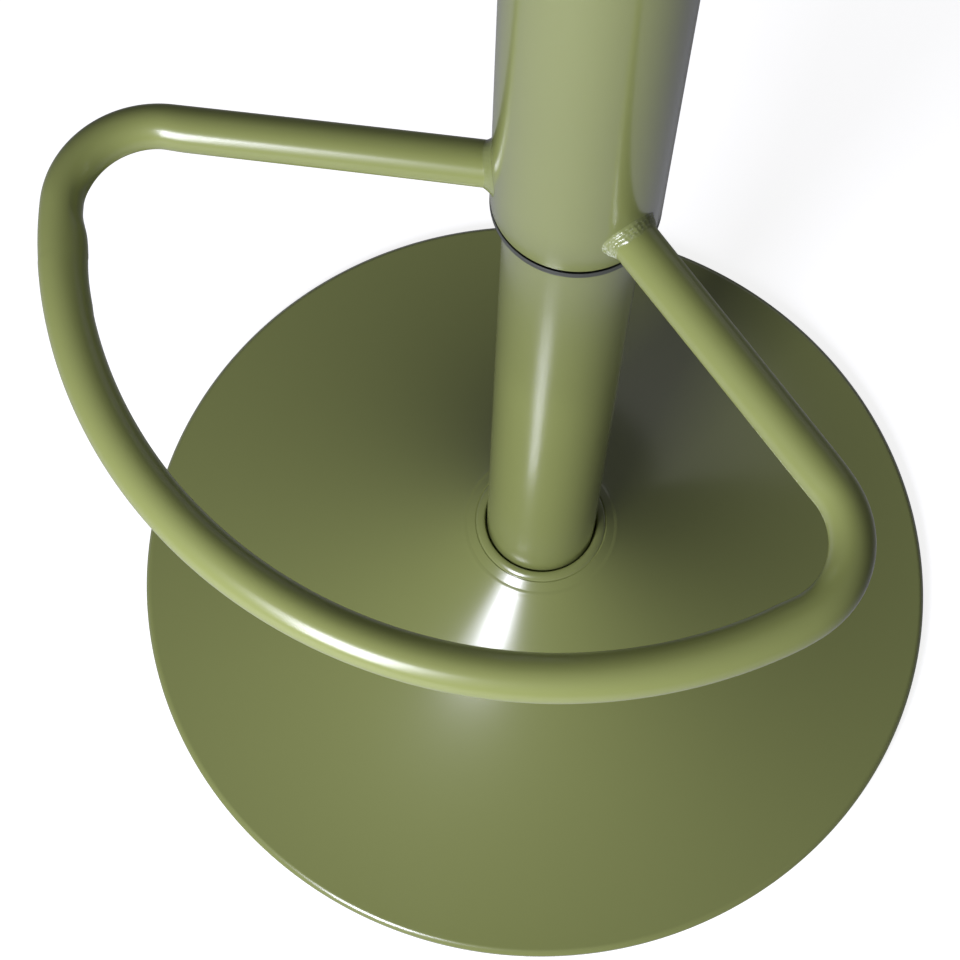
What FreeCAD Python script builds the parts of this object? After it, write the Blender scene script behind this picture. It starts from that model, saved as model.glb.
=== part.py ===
import FreeCAD, Part
import math
import os

from FreeCAD import Vector

# A gas-lift bar stool, in millimetres. Z is up and the floor is z = 0. The column's axis
# is the Z axis, the foot loop points to -Y, and the release lever reaches out to -X.
# The stool stands here at the top of its travel.

# Fits and gaps
running_fit = 0.05        # radial, between a piece that turns or slides and its bore
slip_fit = 0.05           # radial, between pieces pushed together for good
play = 0.3                # between pieces that pass without touching
through = 1.0             # how far a cutting tool runs past the face it cuts

# Base: floor ring, spun cover and ballast
base_radius = 192.5
floor_ring_height = 2.0
floor_ring_width = 20.0
floor_ring_inset = 5.0
cover_wall = 1.5
rim_bottom_radius = 1.5
rim_top_radius = 4.0
rim_straight = 1.3
rim_slope = math.radians(5.0)
rim_hem_width = 32.0
collar_gap = 1.0
collar_bead_radius = 2.6
collar_bead_rise = 1.4                 # the bead's centre above the ledge round it
collar_ledge_height = 68.2
collar_ledge_width = 1.2
collar_shoulder_radius = 4.0
ballast_thickness = 6.0
ballast_hole_radius = 22.0

# Column, its flange and its screws
column_radius = 25.4
column_wall = 2.0
column_overlap = 69.6                  # how far the column reaches into the raised sleeve
flange_radius = 60.0
flange_thickness = 8.0
column_weld_leg = 4.0
foot_bolt_count = 4
foot_bolt_circle = 42.0
foot_bolt_radius = 4.0
foot_bolt_head_radius = 6.5
foot_bolt_head_height = 3.5
foot_bolt_grip = 9.0
bush_length = 90.0
bush_lip_height = 3.0

# Thrust bearing under the piston rod
spigot_radius = 4.0
spigot_end_gap = 1.0
race_thickness = 1.2
race_rim = 0.5
race_bore_gap = 0.4
ball_count = 8
ball_radius = 2.0
ball_circle = 8.0
ball_gap = 0.1
cage_thickness = 1.8
cage_rim = 1.0
clip_radius = 8.0
clip_thickness = 1.2
clip_groove_depth = 0.8
bump_stop_radius = 10.5
bump_stop_height = 16.0

# Gas spring
lift_travel = 210.0
lift_end_gap = 12.0
rod_radius = 5.0
pressure_tube_radius = 14.0
pressure_tube_wall = 1.5
rod_guide_height = 20.0
rod_seal_height = 6.0
piston_gap = 2.0
piston_height = 12.0
piston_neck_radius = 3.5
piston_head_height = 3.0
piston_ring_height = 4.0
piston_ring_depth = 2.2
taper_slope = math.radians(1.43)
valve_bore_radius = 10.5
valve_body_height = 24.0
tube_end_thickness = 4.0
button_radius = 3.0
button_rise = 4.5
button_stem = 26.0
press_gap = 0.6

# Sleeve that slides over the column
sleeve_gap = 3.5
sleeve_wall = 1.5
sleeve_length = 331.3
sleeve_low_gap = 98.2                  # from the collar's ledge up to the lowered sleeve
glide_flange_height = 3.6
glide_neck_height = 0.9
glide_neck_inset = 0.9
glide_spigot_height = 14.0
hub_flange_height = 3.0
hub_spigot_height = 12.0

# Foot loop, bent from one tube
loop_tube_radius = 8.0
loop_tube_wall = 1.5
loop_rise = 16.5                       # the loop's centreline above the sleeve's lower edge
loop_arm_angle = math.radians(65.5)    # each arm, measured from the front
loop_front_radius = 165.3
loop_front_centre = 19.2               # how far the front arc's centre lies ahead of the column
loop_bend_radius = 31.3
loop_weld_leg = 2.6
loop_cope_gap = 0.3

# Plate under the seat, with its taper socket
dust_cover_thickness = 0.8
dust_cover_gap = 1.0
plate_thickness = 2.5
plate_half = 82.0
plate_corner_radius = 14.0
dish_half = 50.0
dish_corner_radius = 12.0
dish_depth = 30.0
socket_wall = 5.0
socket_drop = 28.0
socket_rise = 3.0
socket_weld_leg = 3.0
tube_rise = 8.0

# Release lever
lever_radius = 4.0
lever_pivot_x = -32.0
lever_inner_x = 4.0
lever_bend_x = -62.0
lever_end_x = -183.0
lever_bend_radius = 24.0
lever_droop = math.radians(13.0)
lever_boss_radius = 6.5
lever_boss_half = 6.0
lever_pin_radius = 2.5
lever_slot_half = 8.0
lever_slot_floor = 5.0
ear_thickness = 2.0
ear_half_width = 8.0
ear_gap = 0.5
grip_radius = 7.0
grip_length = 62.0
grip_end_wall = 3.0
grip_round = 3.0

# Seat: board, foam and cover
seat_radius = 182.0
seat_thickness = 74.0
seat_crown_radius = 1400.0
seat_edge_radius = 24.0
seat_lower_edge_radius = 6.0
seat_cover_thickness = 1.5
seat_cover_hem_radius = 150.0
board_inset = 16.0
board_thickness = 12.0
plate_bolt_offset = 66.0
plate_bolt_radius = 3.0
plate_bolt_hole_gap = 0.3
plate_bolt_head_width = 10.0
plate_bolt_head_height = 4.0
plate_bolt_end_gap = 1.5
washer_radius = 6.5
washer_thickness = 1.6
tee_nut_barrel_radius = 4.6
tee_nut_barrel_height = 9.0
tee_nut_flange_radius = 9.0
tee_nut_flange_height = 1.0

# Heights that follow from the sizes above, from the floor up
hem_top = floor_ring_height + cover_wall
ballast_top = hem_top + ballast_thickness
flange_top = ballast_top + flange_thickness
ball_height = flange_top + race_thickness + ball_gap + ball_radius
upper_race_bottom = ball_height + ball_radius + ball_gap
rod_shoulder = upper_race_bottom + race_thickness
bump_stop_top = rod_shoulder + bump_stop_height
tube_bottom = bump_stop_top + lift_travel + lift_end_gap
piston_bottom = tube_bottom + rod_guide_height + rod_seal_height + piston_gap
piston_top = piston_bottom + piston_height
sleeve_bottom = collar_ledge_height + sleeve_low_gap + lift_travel
column_top = sleeve_bottom + column_overlap
loop_height = sleeve_bottom + loop_rise
sleeve_top = sleeve_bottom + sleeve_length
socket_bottom = sleeve_top + hub_flange_height
dish_floor_bottom = socket_bottom + socket_drop
dish_floor_top = dish_floor_bottom + plate_thickness
plate_top = dish_floor_top + dish_depth
seat_under = plate_top + dust_cover_thickness
tube_top = dish_floor_top + tube_rise
lever_height = tube_top + button_rise + press_gap + lever_radius
board_top = seat_under + board_thickness
seat_top = seat_under + seat_thickness

# Radii that follow from the sizes above
column_bore = column_radius - column_wall
collar_bore = column_radius + collar_gap
collar_ledge_radius = collar_bore + 2 * collar_bead_radius + collar_ledge_width
cage_radius = ball_circle + ball_radius + cage_rim
race_radius = cage_radius + race_rim
tube_bore = pressure_tube_radius - pressure_tube_wall
sleeve_bore = column_radius + sleeve_gap
sleeve_radius = sleeve_bore + sleeve_wall
taper_top_radius = pressure_tube_radius - (tube_top - socket_bottom) * math.tan(taper_slope)
socket_radius = pressure_tube_radius + socket_wall
board_radius = seat_radius - board_inset
dust_cover_radius = seat_cover_hem_radius - dust_cover_gap


def disc(radius, bottom, top, x=0.0, y=0.0):
    """An upright cylinder between two heights."""
    return Part.makeCylinder(radius, top - bottom, Vector(x, y, bottom))


def ring(outer, inner, bottom, top, x=0.0, y=0.0):
    """An upright tube between two heights."""
    hole = disc(inner, bottom - through, top + through, x, y)
    return disc(outer, bottom, top, x, y).cut(hole)


def line(start, end):
    """A straight edge between two (radius, height) points of a profile."""
    return Part.makeLine(Vector(start[0], 0, start[1]), Vector(end[0], 0, end[1]))


def polar(centre, radius, angle):
    """The (radius, height) point at an angle round a centre in a profile."""
    return (centre[0] + radius * math.cos(angle), centre[1] + radius * math.sin(angle))


def arc(centre, radius, start, end):
    """An arc of a profile between two angles, in radians."""
    points = [polar(centre, radius, angle) for angle in (start, (start + end) / 2, end)]
    return Part.Arc(*[Vector(r, 0, z) for r, z in points]).toShape()


def spun(edges):
    """The solid that a closed profile sweeps round the Z axis."""
    face = Part.Face(Part.Wire(edges))
    return face.revolve(Vector(0, 0, 0), Vector(0, 0, 1), 360)


def spun_corners(corners):
    """The solid of revolution of a profile with straight sides."""
    ends = corners[1:] + corners[:1]
    return spun([line(start, end) for start, end in zip(corners, ends)])


def rounded_block(half, corner, bottom, top):
    """A square block centred on the Z axis, with its upright edges rounded."""
    block = Part.makeBox(2 * half, 2 * half, top - bottom, Vector(-half, -half, bottom))
    upright = [edge for edge in block.Edges if abs(edge.tangentAt(edge.FirstParameter).z) > 0.9]
    return block.makeFillet(corner, upright)


def hexagon(width, bottom, top, x, y):
    """A hexagonal prism, sized across its flats."""
    corner = width / 2 / math.cos(math.pi / 6)
    points = [Vector(x + corner * math.cos(math.pi * k / 3), y + corner * math.sin(math.pi * k / 3), bottom)
              for k in range(7)]
    return Part.Face(Part.makePolygon(points)).extrude(Vector(0, 0, top - bottom))


def around(count, radius):
    """Evenly spaced places on a circle, the first one half a step from +X."""
    step = 2 * math.pi / count
    return [(radius * math.cos((k + 0.5) * step), radius * math.sin((k + 0.5) * step)) for k in range(count)]


def group(solids):
    """Identical pieces kept together as separate solids."""
    return Part.makeCompound(solids)


# Centres and radius of the cover's flank, tangent to its collar shoulder and its rim
rim_centre = (base_radius - rim_top_radius, floor_ring_height + rim_bottom_radius + rim_straight)
shoulder_centre = (collar_ledge_radius, collar_ledge_height - collar_shoulder_radius)
rim_normal = (math.sin(rim_slope), math.cos(rim_slope))
rise = (rim_centre[0] - shoulder_centre[0], rim_centre[1] - shoulder_centre[1])
radius_step = collar_shoulder_radius - rim_top_radius
along_normal = rise[0] * rim_normal[0] + rise[1] * rim_normal[1]
flank_reach = (radius_step ** 2 - rise[0] ** 2 - rise[1] ** 2) / (2 * (along_normal - radius_step))
flank_radius = flank_reach - rim_top_radius
flank_centre = (rim_centre[0] + flank_reach * rim_normal[0], rim_centre[1] + flank_reach * rim_normal[1])
flank_start = math.atan2(flank_centre[1] - shoulder_centre[1], flank_centre[0] - shoulder_centre[0])
flank_end = math.pi / 2 - rim_slope


def base_cover():
    """Spun steel cover: hem, rounded rim, hollow flank, shoulder and a beaded collar."""
    bead_centre = (collar_bore + collar_bead_radius, collar_ledge_height + collar_bead_rise)
    crease = -math.asin(collar_bead_rise / collar_bead_radius)
    ledge = polar(bead_centre, collar_bead_radius, crease)
    lower_centre = (base_radius - rim_bottom_radius, floor_ring_height + rim_bottom_radius)
    hem_inner = base_radius - rim_hem_width
    under_ledge = collar_ledge_height - cover_wall
    inner_rim = base_radius - cover_wall
    inner_flank = flank_radius + cover_wall
    return spun([
        line((collar_bore, under_ledge), (collar_bore, bead_centre[1])),
        arc(bead_centre, collar_bead_radius, math.pi, crease),
        line(ledge, (collar_ledge_radius, collar_ledge_height)),
        arc(shoulder_centre, collar_shoulder_radius, math.pi / 2, flank_start),
        arc(flank_centre, flank_radius, flank_start + math.pi, flank_end + math.pi),
        arc(rim_centre, rim_top_radius, flank_end, 0),
        line((base_radius, rim_centre[1]), (base_radius, lower_centre[1])),
        arc(lower_centre, rim_bottom_radius, 0, -math.pi / 2),
        line((lower_centre[0], floor_ring_height), (hem_inner, floor_ring_height)),
        line((hem_inner, floor_ring_height), (hem_inner, hem_top)),
        line((hem_inner, hem_top), (inner_rim, hem_top)),
        line((inner_rim, hem_top), (inner_rim, rim_centre[1])),
        arc(rim_centre, rim_top_radius - cover_wall, 0, flank_end),
        arc(flank_centre, inner_flank, flank_end + math.pi, flank_start + math.pi),
        arc(shoulder_centre, collar_shoulder_radius - cover_wall, flank_start, math.pi / 2),
        line((collar_ledge_radius, under_ledge), (collar_bore, under_ledge)),
    ])


def floor_ring():
    """Rubber ring glued under the hem, which keeps the steel off the floor."""
    outer = base_radius - floor_ring_inset
    return ring(outer, outer - floor_ring_width, 0, floor_ring_height)


def foot_bolt_places():
    return around(foot_bolt_count, foot_bolt_circle)


def ballast_plate():
    """Steel ballast held by the hem, as wide as the cover leaves room for."""
    drop = flank_centre[1] - ballast_top - play
    radius = flank_centre[0] - math.sqrt((flank_radius + cover_wall) ** 2 - drop ** 2)
    plate = ring(radius, ballast_hole_radius, hem_top, ballast_top)
    for x, y in foot_bolt_places():
        head = disc(foot_bolt_head_radius + play, hem_top - through, hem_top + foot_bolt_head_height, x, y)
        shank = disc(foot_bolt_radius + play, hem_top, ballast_top + through, x, y)
        plate = plate.cut(head).cut(shank)
    return plate


def foot_bolts():
    """Cap screws that hold the column's flange down on the ballast."""
    head_top = hem_top + foot_bolt_head_height
    shank_top = head_top + foot_bolt_grip
    return group([
        disc(foot_bolt_head_radius, hem_top, head_top, x, y).fuse(
            disc(foot_bolt_radius, head_top, shank_top, x, y))
        for x, y in foot_bolt_places()
    ])


def foot_flange():
    """Steel disc at the column's foot, bored for the piston rod's spigot and tapped for the screws."""
    flange = ring(flange_radius, spigot_radius + running_fit, ballast_top, flange_top)
    for x, y in foot_bolt_places():
        thread = disc(foot_bolt_radius + slip_fit, ballast_top - through, flange_top + through, x, y)
        flange = flange.cut(thread)
    return flange


def column_tube():
    return ring(column_radius, column_bore, flange_top, column_top)


def column_weld():
    """Fillet weld round the column's foot."""
    foot = column_radius + slip_fit
    return spun_corners([
        (foot, flange_top),
        (foot + column_weld_leg, flange_top),
        (foot, flange_top + column_weld_leg),
    ])


def guide_bush():
    """Plastic bush in the column's mouth, which guides the pressure tube."""
    bore = pressure_tube_radius + running_fit
    spigot = ring(column_bore - slip_fit, bore, column_top - bush_length, column_top)
    lip = ring(column_radius, bore, column_top, column_top + bush_lip_height)
    return spigot.fuse(lip).removeSplitter()


def lower_race():
    return ring(race_radius, spigot_radius + race_bore_gap, flange_top, flange_top + race_thickness)


def upper_race():
    return ring(race_radius, spigot_radius + slip_fit, upper_race_bottom, rod_shoulder)


def bearing_balls():
    return group([
        Part.makeSphere(ball_radius, Vector(x, y, ball_height))
        for x, y in around(ball_count, ball_circle)
    ])


def bearing_cage():
    """Plastic cage with one pocket for each ball."""
    bottom = ball_height - cage_thickness / 2
    top = ball_height + cage_thickness / 2
    cage = ring(cage_radius, spigot_radius + race_bore_gap, bottom, top)
    for x, y in around(ball_count, ball_circle):
        cage = cage.cut(disc(ball_radius + ball_gap, bottom - through, top + through, x, y))
    return cage


def piston_rod():
    """Rod with a clipped spigot at its foot and a peened neck for the piston."""
    groove_top = ballast_top - ball_gap
    groove_bottom = groove_top - clip_thickness
    groove_radius = spigot_radius - clip_groove_depth
    bottom = hem_top + spigot_end_gap
    return spun_corners([
        (0, bottom),
        (spigot_radius, bottom),
        (spigot_radius, groove_bottom),
        (groove_radius, groove_bottom),
        (groove_radius, groove_top),
        (spigot_radius, groove_top),
        (spigot_radius, rod_shoulder),
        (rod_radius, rod_shoulder),
        (rod_radius, piston_bottom),
        (piston_neck_radius, piston_bottom),
        (piston_neck_radius, piston_top),
        (rod_radius, piston_top),
        (rod_radius, piston_top + piston_head_height),
        (0, piston_top + piston_head_height),
    ])


def rod_clip():
    """Retaining clip in the spigot's groove, under the flange."""
    top = ballast_top - ball_gap
    return ring(clip_radius, spigot_radius - clip_groove_depth + slip_fit, top - clip_thickness, top)


def bump_stop():
    """Rubber ring that the pressure tube meets at the bottom of its travel."""
    return ring(bump_stop_radius, rod_radius + slip_fit, rod_shoulder, bump_stop_top)


def piston():
    body = ring(tube_bore - play, piston_neck_radius + slip_fit, piston_bottom, piston_top)
    middle = (piston_bottom + piston_top) / 2
    groove = ring(tube_bore, tube_bore - play - piston_ring_depth,
                  middle - piston_ring_height / 2, middle + piston_ring_height / 2)
    return body.cut(groove)


def piston_ring():
    middle = (piston_bottom + piston_top) / 2
    inner = tube_bore - play - piston_ring_depth + slip_fit
    half = piston_ring_height / 2 - slip_fit
    return ring(tube_bore - running_fit, inner, middle - half, middle + half)


valve_top = tube_top - tube_end_thickness
valve_bottom = valve_top - valve_body_height


def pressure_tube():
    """Gas cylinder: straight below, tapered where it fits the socket, closed above but for the valve."""
    return spun_corners([
        (tube_bore, tube_bottom),
        (pressure_tube_radius, tube_bottom),
        (pressure_tube_radius, socket_bottom),
        (taper_top_radius, tube_top),
        (button_radius + running_fit, tube_top),
        (button_radius + running_fit, valve_top),
        (valve_bore_radius, valve_top),
        (valve_bore_radius, valve_bottom),
        (tube_bore, valve_bottom),
    ])


def rod_guide():
    return ring(tube_bore - slip_fit, rod_radius + running_fit, tube_bottom, tube_bottom + rod_guide_height)


def rod_seal():
    bottom = tube_bottom + rod_guide_height
    return ring(tube_bore - slip_fit, rod_radius + running_fit, bottom, bottom + rod_seal_height)


def valve_body():
    return ring(valve_bore_radius - slip_fit, button_radius + running_fit, valve_bottom, valve_top)


def valve_button():
    """Release pin with a domed top."""
    top = tube_top + button_rise
    pin = disc(button_radius, top - button_stem, top)
    crown = [edge for edge in pin.Edges if edge.BoundBox.ZMin > top - slip_fit]
    return pin.makeFillet(button_radius / 2, crown)


def sleeve_tube():
    return ring(sleeve_radius, sleeve_bore, sleeve_bottom, sleeve_top)


def glide_ring():
    """Plastic ring under the sleeve's edge, which slides on the column and leaves a dark groove."""
    bore = column_radius + running_fit
    neck_bottom = sleeve_bottom - glide_neck_height
    flange_bottom = neck_bottom - glide_flange_height
    neck = sleeve_radius - glide_neck_inset
    spigot = sleeve_bore - slip_fit
    return spun_corners([
        (bore, flange_bottom),
        (sleeve_radius, flange_bottom),
        (sleeve_radius, neck_bottom),
        (neck, neck_bottom),
        (neck, sleeve_bottom),
        (spigot, sleeve_bottom),
        (spigot, sleeve_bottom + glide_spigot_height),
        (bore, sleeve_bottom + glide_spigot_height),
    ])


def sleeve_hub():
    """Steel hub that closes the sleeve's top and centres it on the pressure tube."""
    bore = pressure_tube_radius + slip_fit
    spigot = ring(sleeve_bore - slip_fit, bore, sleeve_top - hub_spigot_height, sleeve_top)
    flange = ring(sleeve_radius, bore, sleeve_top, socket_bottom)
    return spigot.fuse(flange).removeSplitter()


def loop_points():
    """Tangent points of the right half of the foot loop's centreline, seen from above."""
    arm = Vector(math.sin(loop_arm_angle), -math.cos(loop_arm_angle), 0)
    inward = Vector(-math.cos(loop_arm_angle), -math.sin(loop_arm_angle), 0)
    front_centre = Vector(0, -loop_front_centre, 0)
    reach = loop_front_radius - loop_bend_radius
    offset = inward * loop_bend_radius - front_centre
    half = arm.dot(offset)
    distance = -half + math.sqrt(half ** 2 - offset.dot(offset) + reach ** 2)
    bend_centre = arm * distance + inward * loop_bend_radius
    outward = (bend_centre - front_centre).normalize()
    bend_start = arm * distance
    bend_end = bend_centre + outward * loop_bend_radius
    bend_middle = bend_centre + (outward - inward).normalize() * loop_bend_radius
    return bend_start, bend_middle, bend_end


def loop_path():
    """Centreline of the foot loop: arm, bend, front arc, bend and arm."""
    lift = Vector(0, 0, loop_height)
    right = [point + lift for point in loop_points()]
    left = [Vector(-point.x, point.y, point.z) for point in right]
    apex = Vector(0, -loop_front_centre - loop_front_radius, loop_height)
    return Part.Wire([
        Part.makeLine(lift, right[0]),
        Part.Arc(*right).toShape(),
        Part.Arc(right[2], apex, left[2]).toShape(),
        Part.Arc(left[2], left[1], left[0]).toShape(),
        Part.makeLine(left[0], lift),
    ])


def arm_directions():
    """Unit vectors along the foot loop's two arms, away from the column."""
    return [Vector(side * math.sin(loop_arm_angle), -math.cos(loop_arm_angle), 0) for side in (1, -1)]


def swept_round(path, start, direction, radius):
    """A round bar swept along a path."""
    profile = Part.Wire(Part.makeCircle(radius, start, direction))
    return path.makePipeShell([profile], True, False)


def footrest_tube():
    """The bent tube, coped to the sleeve at both ends."""
    path = loop_path()
    start = Vector(0, 0, loop_height)
    direction = arm_directions()[0]
    outer = swept_round(path, start, direction, loop_tube_radius)
    inner = swept_round(path, start, direction, loop_tube_radius - loop_tube_wall)
    reach = loop_tube_radius + through
    cope = disc(sleeve_radius + loop_cope_gap, loop_height - reach, loop_height + reach)
    return outer.cut(cope).cut(inner)


def footrest_weld(direction):
    """Fillet of weld metal where one arm meets the sleeve."""
    centre = Vector(0, 0, loop_height)
    root = loop_tube_radius + loop_weld_leg
    toe = sleeve_radius + loop_weld_leg
    collar_length = sleeve_radius - loop_tube_radius
    collar = Part.makeCylinder(root, collar_length, centre + direction * loop_tube_radius, direction)
    fillet = Part.makeCone(root, loop_tube_radius + slip_fit, toe - sleeve_radius,
                           centre + direction * sleeve_radius, direction)
    arm = Part.makeCylinder(loop_tube_radius + slip_fit, toe + through, centre, direction)
    sleeve = disc(sleeve_radius + slip_fit, loop_height - root - through, loop_height + root + through)
    return collar.fuse(fillet).cut(arm).cut(sleeve)


def footrest_welds():
    return group([footrest_weld(direction) for direction in arm_directions()])


def taper_socket():
    """Socket welded through the dish's floor, which jams on the pressure tube's taper."""
    top = dish_floor_top + socket_rise
    top_bore = pressure_tube_radius - (top - socket_bottom) * math.tan(taper_slope)
    return spun_corners([
        (pressure_tube_radius + slip_fit, socket_bottom),
        (socket_radius, socket_bottom),
        (socket_radius, top),
        (top_bore + slip_fit, top),
    ])


def socket_weld():
    root = socket_radius + slip_fit
    return spun_corners([
        (root, dish_floor_bottom),
        (root + socket_weld_leg, dish_floor_bottom),
        (root, dish_floor_bottom - socket_weld_leg),
    ])


def plate_bolt_places():
    return [(x, y) for x in (-plate_bolt_offset, plate_bolt_offset)
            for y in (-plate_bolt_offset, plate_bolt_offset)]


def seat_plate():
    """Pressed plate with a dished middle, a slot for the lever and four bolt holes."""
    rim_bottom = plate_top - plate_thickness
    rim = rounded_block(plate_half, plate_corner_radius, rim_bottom, plate_top)
    outer_dish = rounded_block(dish_half + plate_thickness, dish_corner_radius + plate_thickness,
                               dish_floor_bottom, plate_top)
    inner_dish = rounded_block(dish_half, dish_corner_radius, dish_floor_top, plate_top + through)
    slot_bottom = dish_floor_top + lever_slot_floor
    slot = Part.makeBox(2 * plate_thickness + through, 2 * lever_slot_half, rim_bottom - slot_bottom,
                        Vector(-dish_half - 2 * plate_thickness, -lever_slot_half, slot_bottom))
    hole = disc(socket_radius + slip_fit, dish_floor_bottom - through, dish_floor_top + through)
    plate = rim.fuse(outer_dish).cut(inner_dish).cut(slot).cut(hole)
    for x, y in plate_bolt_places():
        hole = disc(plate_bolt_radius + plate_bolt_hole_gap, rim_bottom - through, plate_top + through, x, y)
        plate = plate.cut(hole)
    return plate.removeSplitter()


def lever_bracket():
    """Two ears on a foot, spot-welded to the dish's floor beside the lever's boss."""
    inside = lever_boss_half + ear_gap
    outside = inside + ear_thickness
    foot_top = dish_floor_top + ear_thickness
    ear_top = lever_height + lever_boss_radius
    outer = Part.makeBox(2 * ear_half_width, 2 * outside, ear_top - dish_floor_top,
                         Vector(lever_pivot_x - ear_half_width, -outside, dish_floor_top))
    channel = Part.makeBox(2 * ear_half_width + 2 * through, 2 * inside, ear_top - foot_top + through,
                           Vector(lever_pivot_x - ear_half_width - through, -inside, foot_top))
    pin_hole = Part.makeCylinder(lever_pin_radius + slip_fit, 2 * outside + 2 * through,
                                 Vector(lever_pivot_x, -outside - through, lever_height), Vector(0, 1, 0))
    return outer.cut(channel).cut(pin_hole)


def lever_pin():
    """Headed pin through the ears and the lever's boss."""
    outside = lever_boss_half + ear_gap + ear_thickness
    axis = Vector(0, 1, 0)
    shank = Part.makeCylinder(lever_pin_radius, 2 * outside + ear_thickness,
                              Vector(lever_pivot_x, -outside, lever_height), axis)
    head = Part.makeCylinder(2 * lever_pin_radius, ear_thickness,
                             Vector(lever_pivot_x, -outside - ear_thickness, lever_height), axis)
    return shank.fuse(head).removeSplitter()


def lever_end():
    """Where the lever's rod ends, inside its grip."""
    drop = (lever_bend_x - lever_end_x) * math.tan(lever_droop)
    return Vector(lever_end_x, 0, lever_height - drop)


def lever_outward():
    """Unit vector along the lever's drooping half, towards its end."""
    return Vector(-math.cos(lever_droop), 0, -math.sin(lever_droop))


def lever_rod():
    """Round rod, bent down outside the dish, with a bored boss at its pivot."""
    start = Vector(lever_inner_x, 0, lever_height)
    corner = Vector(lever_bend_x, 0, lever_height)
    setback = lever_bend_radius * math.tan(lever_droop / 2)
    bend_start = corner + Vector(setback, 0, 0)
    bend_end = corner + lever_outward() * setback
    bend_centre = bend_start - Vector(0, 0, lever_bend_radius)
    bisector = (corner - bend_centre).normalize()
    bend_middle = bend_centre + bisector * lever_bend_radius
    path = Part.Wire([
        Part.makeLine(start, bend_start),
        Part.Arc(bend_start, bend_middle, bend_end).toShape(),
        Part.makeLine(bend_end, lever_end()),
    ])
    rod = swept_round(path, start, Vector(1, 0, 0), lever_radius)
    boss = Part.makeCylinder(lever_boss_radius, 2 * lever_boss_half,
                             Vector(lever_pivot_x, -lever_boss_half, lever_height), Vector(0, 1, 0))
    bore = Part.makeCylinder(lever_pin_radius + running_fit, 2 * lever_boss_half + 2 * through,
                             Vector(lever_pivot_x, -lever_boss_half - through, lever_height), Vector(0, 1, 0))
    return rod.fuse(boss).cut(bore)


def lever_grip():
    """Plastic grip pushed over the lever's end."""
    outward = lever_outward()
    tip = lever_end() + outward * grip_end_wall
    start = tip - outward * grip_length
    body = Part.makeCylinder(grip_radius, grip_length, start, outward)
    rims = [edge for edge in body.Edges if edge.Closed]
    body = body.makeFillet(grip_round, rims)
    bore = Part.makeCylinder(lever_radius + slip_fit, grip_length - grip_end_wall + through,
                             start - outward * through, outward)
    return body.cut(bore)


def plate_bolts():
    """Hexagon screws from below, through the plate into the tee nuts."""
    head_top = plate_top - plate_thickness - washer_thickness
    head_bottom = head_top - plate_bolt_head_height
    shank_top = board_top - plate_bolt_end_gap
    return group([
        hexagon(plate_bolt_head_width, head_bottom, head_top, x, y).fuse(
            disc(plate_bolt_radius, head_top, shank_top, x, y))
        for x, y in plate_bolt_places()
    ])


def plate_washers():
    top = plate_top - plate_thickness
    return group([
        ring(washer_radius, plate_bolt_radius + slip_fit, top - washer_thickness, top, x, y)
        for x, y in plate_bolt_places()
    ])


def tee_nuts():
    """Flanged nuts let into the board from above."""
    flange_bottom = board_top - tee_nut_flange_height
    barrel_bottom = flange_bottom - tee_nut_barrel_height
    bore = plate_bolt_radius + slip_fit
    return group([
        ring(tee_nut_barrel_radius, bore, barrel_bottom, flange_bottom, x, y).fuse(
            ring(tee_nut_flange_radius, bore, flange_bottom, board_top, x, y)).removeSplitter()
        for x, y in plate_bolt_places()
    ])


def seat_board():
    """Plywood disc, drilled and counterbored for the tee nuts."""
    board = disc(board_radius, seat_under, board_top)
    for x, y in plate_bolt_places():
        barrel = disc(tee_nut_barrel_radius + slip_fit, seat_under - through, board_top + through, x, y)
        recess = disc(tee_nut_flange_radius + slip_fit, board_top - tee_nut_flange_height,
                      board_top + through, x, y)
        board = board.cut(barrel).cut(recess)
    return board


def dust_cover():
    """Black cloth stapled under the board, with the plate bolted over it."""
    cover = disc(dust_cover_radius, plate_top, seat_under)
    for x, y in plate_bolt_places():
        cover = cover.cut(disc(plate_bolt_radius + plate_bolt_hole_gap, plate_top - through,
                               seat_under + through, x, y))
    return cover


def cushion_profile(inset):
    """Edges of the cushion's side and crown, a given depth inside its outer face, with the ends."""
    side = seat_radius - inset
    lower_centre = (seat_radius - seat_lower_edge_radius,
                    seat_under - seat_cover_thickness + seat_lower_edge_radius)
    crown_centre = seat_top - seat_crown_radius
    edge_reach = seat_radius - seat_edge_radius
    crown_reach = seat_crown_radius - seat_edge_radius
    edge_centre = (edge_reach, crown_centre + math.sqrt(crown_reach ** 2 - edge_reach ** 2))
    crown_angle = math.atan2(edge_centre[1] - crown_centre, edge_reach)
    lower_round = seat_lower_edge_radius - inset
    edge_round = seat_edge_radius - inset
    bottom = (lower_centre[0], lower_centre[1] - lower_round)
    edges = [
        arc(lower_centre, lower_round, -math.pi / 2, 0),
        line((side, lower_centre[1]), (side, edge_centre[1])),
        arc(edge_centre, edge_round, 0, crown_angle),
        arc((0, crown_centre), seat_crown_radius - inset, crown_angle, math.pi / 2),
    ]
    return bottom, edges, (0, seat_top - inset)


def seat_cover():
    """Upholstery: a skin over the crown and sides, turned in under the board."""
    outer_bottom, outer_edges, outer_top = cushion_profile(0)
    inner_bottom, inner_edges, inner_top = cushion_profile(seat_cover_thickness)
    return spun([
        line((seat_cover_hem_radius, outer_bottom[1]), outer_bottom),
        *outer_edges,
        line(outer_top, inner_top),
        *reversed(inner_edges),
        line(inner_bottom, (seat_cover_hem_radius, inner_bottom[1])),
        line((seat_cover_hem_radius, inner_bottom[1]), (seat_cover_hem_radius, outer_bottom[1])),
    ])


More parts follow.
